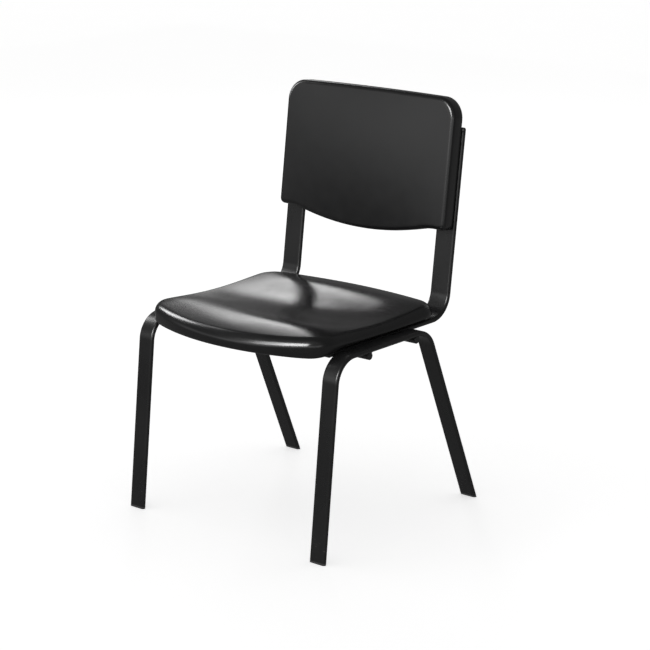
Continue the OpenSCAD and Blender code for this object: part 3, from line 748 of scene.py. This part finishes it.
high_screw = post_long - back_screw_drop
driven = screw_tree()
for name, long, direction, places in (
        ("seat", tube_thick + seat_board_thick - nut_flange, Vector((0, 0, 1)),
         [(side * post_x, y, tube_under) for side in (1, -1)
          for y in (front_knee_y + seat_screw_front, rear_knee_y - seat_screw_rear)]),
        ("back", tube_thick + back_board_thick - nut_flange, out_of_post,
         [Vector((side * post_x, 0, 0)) + post_knee + along_post * v - out_of_post * tube_thick / 2
          for side in (1, -1) for v in (high_screw - back_screw_gap, high_screw)])):
    spots = bpy.data.meshes.new(name + "_screw_places")
    spots.from_pydata(places, [], [])
    pattern = button_screw(name + "_screw_pattern", long)
    screws = grow(name + "_button_screws", bpy.data.objects.new(name + "_places", spots), driven, {
        "Screw": pattern, "Direction": Vector((0, 0, 1)).rotation_difference(direction).to_euler(),
        "Seed": 7, "Finish": black_oxide.material})
    bpy.data.objects.remove(pattern)
    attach(screws, "root")
    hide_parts(name + "_screws")


# The studio. A pale floor that runs out of sight, a bright world, and softboxes overhead, behind the
# chair, on its left in the picture and in front. A box round the set, which only reflections see, glows
# with painted light and shade and makes the dark surroundings that show in the gloss.

floor_glow, floor_reach = 0.62, 30.0
world_light, world_seen = 0.45, 1.0


def sees_background(tree):
    """One for rays from the camera, off gloss and through glass, and nought for the rest."""
    path = tree.nodes.new("ShaderNodeLightPath")
    seen = path.outputs["Is Camera Ray"]
    for name in ("Is Glossy Ray", "Is Transmission Ray"):
        either = tree.nodes.new("ShaderNodeMath")
        either.operation = "MAXIMUM"
        tree.links.new(seen, either.inputs[0])
        tree.links.new(path.outputs[name], either.inputs[1])
        seen = either.outputs[0]
    return seen


def studio_floor():
    """A matt pale floor that takes the chair's shadow, and glows a little for the camera and the gloss."""
    pale = Finish("pale_floor", Roughness=0.9, Specular_IOR_Level=0.1)
    dust = pale.noise(per_metre=3.0, detail=3.0)
    pale.set(Base_Color=pale.blend(dust, (0.79, 0.79, 0.79, 1), (0.81, 0.81, 0.81, 1)))
    glow = pale.tree.nodes.new("ShaderNodeEmission")
    glow.inputs["Strength"].default_value = floor_glow
    both = pale.tree.nodes.new("ShaderNodeAddShader")
    pick = pale.tree.nodes.new("ShaderNodeMixShader")
    pale.tree.links.new(pale.shader.outputs[0], both.inputs[0])
    pale.tree.links.new(glow.outputs[0], both.inputs[1])
    pale.tree.links.new(sees_background(pale.tree), pick.inputs[0])
    pale.tree.links.new(pale.shader.outputs[0], pick.inputs[1])
    pale.tree.links.new(both.outputs[0], pick.inputs[2])
    pale.tree.links.new(pick.outputs[0], pale.output.inputs["Surface"])
    mesh = bpy.data.meshes.new("floor")
    corners = [(x * floor_reach, y * floor_reach, 0) for x, y in ((-1, -1), (1, -1), (1, 1), (-1, 1))]
    mesh.from_pydata(corners, [], [(0, 1, 2, 3)])
    floor = bpy.data.objects.new("floor", mesh)
    bpy.context.scene.collection.objects.link(floor)
    pale.cover(floor)


def studio_world():
    """A world that is white where it is seen, and lights the chair at less than half of that."""
    world = bpy.data.worlds.new("studio")
    bpy.context.scene.world = world
    world.use_nodes = True
    tree = world.node_tree
    tree.nodes.clear()
    out = tree.nodes.new("ShaderNodeOutputWorld")
    pick = tree.nodes.new("ShaderNodeMixShader")
    tree.links.new(sees_background(tree), pick.inputs[0])
    for slot, strength in ((1, world_light), (2, world_seen)):
        light = tree.nodes.new("ShaderNodeBackground")
        light.inputs["Strength"].default_value = strength
        light.inputs["Color"].default_value = (1, 1, 1, 1)
        tree.links.new(light.outputs[0], pick.inputs[slot])
    tree.links.new(pick.outputs[0], out.inputs["Surface"])


lamp_far, lamp_near = 5.0, 1.15


def softbox(name, seen_from, turn, tilt, wide, high, glow, far=lamp_far):
    """A softbox as seen from a place: its direction and its angles in degrees, and how bright it glows."""
    turn, tilt = math.radians(turn), math.radians(tilt)
    lamp = bpy.data.lights.new(name, "AREA")
    lamp.shape = "RECTANGLE"
    lamp.size = 2 * far * math.tan(math.radians(wide / 2))
    lamp.size_y = 2 * far * math.tan(math.radians(high / 2))
    lamp.energy = glow * math.pi * lamp.size * lamp.size_y
    box = bpy.data.objects.new(name, lamp)
    ahead = Vector((math.cos(tilt) * math.cos(turn), math.cos(tilt) * math.sin(turn), math.sin(tilt)))
    box.location = Vector(seen_from) + far * ahead
    box.rotation_mode = "QUATERNION"
    box.rotation_quaternion = (-ahead).to_track_quat("-Z", "Y")
    bpy.context.scene.collection.objects.link(box)
    box.visible_camera = False
    return box


studio_floor()
studio_world()
seat_middle = (0, 0.05, 0.455)
back_left, back_right = (-0.2, 0.2, 0.85), (0.2, 0.2, 0.85)
fill = softbox("overhead_lamp", seat_middle, turn=212, tilt=57, wide=34, high=10, glow=1.5)
fill.visible_glossy = False
# The tall strip behind the chair, which the hollow of the seat mirrors, in stretches from low to high:
# each one's lower and upper edge, its turn and its width in degrees, and its glow.
for low, high, turn, wide, glow in (
        (4, 12, 135.5, 6, 0.4),
        (12, 20, 136.6, 5.6, 1.1),
        (20, 26, 137, 7.2, 2.2),
        (26, 31, 134.1, 3.2, 6.2),
        (26, 31, 138.9, 6.4, 4.1),
        (31, 36, 138.6, 10.8, 2.8),
        (36, 41, 142.5, 7, 1.1)):
    softbox("strip_lamp", seat_middle, turn, (low + high) / 2, wide, high - low, glow)
softbox("side_lamp", seat_middle, turn=152, tilt=34, wide=16, high=22, glow=0.35)
# The lamps that only reflections see: turn, tilt, width and height in degrees, glow and distance.
for name, seen_from, turn, tilt, wide, high, glow, far in (
        ("left_lamp", back_left, 205, 15, 13, 20, 14, lamp_near),
        ("left_lamp", back_left, 205, 34, 13, 18, 2.5, lamp_near),
        ("front_lamp", back_right, 268, 22, 16, 20, 23, lamp_far),
        ("front_lamp", back_right, 254, 22, 12, 24, 10, lamp_far)):
    softbox(name, seen_from, turn, tilt, wide, high, glow, far).visible_diffuse = False


def dark_room():
    """A glowing box round the set that only reflections see: painted light in front, painted shade low
    down and overhead.
    """
    room_half, room_high, room_floor = 6.0, 7.0, 0.004
    card = Finish("painted_glow_card", Base_Color=(0, 0, 0, 1), Roughness=1.0, Specular_IOR_Level=0.0)
    across, ahead, height = (
        card.node("ShaderNodeSeparateXYZ", inputs={"Vector": card.place}, output=axis) for axis in "XYZ")
    # Painted light and shade, not lamps: in front the walls glow brightest at mid height, dimmer low down,
    # overhead and far to the left; elsewhere they glow dimly.
    above_floor = card.between(height, -0.1, 1.8, bottom=0.12, top=1.26)
    below_top = card.between(height, 2.9, 1.5, bottom=0.2, top=1.0)
    sideways = card.between(across, -6.0, -2.5, bottom=0.65, top=1.35)
    painted_light = above_floor * below_top * sideways
    front = card.between(ahead, -1.5, -4.0)
    dim = card.between(height, 0.02, 0.2, bottom=0.17, top=0.12)
    glow = card.tree.nodes.new("ShaderNodeEmission")
    card.feed(glow.inputs["Strength"], painted_light * front + dim * (1 - front))
    card.tree.links.new(glow.outputs[0], card.output.inputs["Surface"])
    mesh = bpy.data.meshes.new("dark_room")
    corners = [(x * room_half, y * room_half, z) for z in (room_floor, room_high)
               for x, y in ((-1, -1), (1, -1), (1, 1), (-1, 1))]
    mesh.from_pydata(corners, [], [
        (0, 1, 2, 3), (4, 5, 6, 7), (0, 1, 5, 4), (1, 2, 6, 5), (2, 3, 7, 6), (3, 0, 4, 7)])
    room = bpy.data.objects.new("dark_room", mesh)
    bpy.context.scene.collection.objects.link(room)
    room.visible_camera = room.visible_diffuse = room.visible_shadow = room.visible_transmission = False
    card.cover(room)


dark_room()


# The camera. It stands where the photograph was taken from: its place, the place that it looks at and
# its lens come from a pinhole camera fitted to the outlines of the legs, rails and uprights.

looked_at = Vector((-0.01656, 0.09699, 0.37829))
eye = bpy.data.cameras.new("eye")
eye.sensor_width = 36
eye.lens = 113.689
camera = bpy.data.objects.new("eye", eye)
camera.location = (2.73987, -3.22502, 1.57021)
camera.rotation_mode = "QUATERNION"
camera.rotation_quaternion = (looked_at - camera.location).to_track_quat("-Z", "Y")
bpy.context.scene.collection.objects.link(camera)
bpy.context.scene.camera = camera
bpy.context.scene.view_settings.view_transform = "Standard"
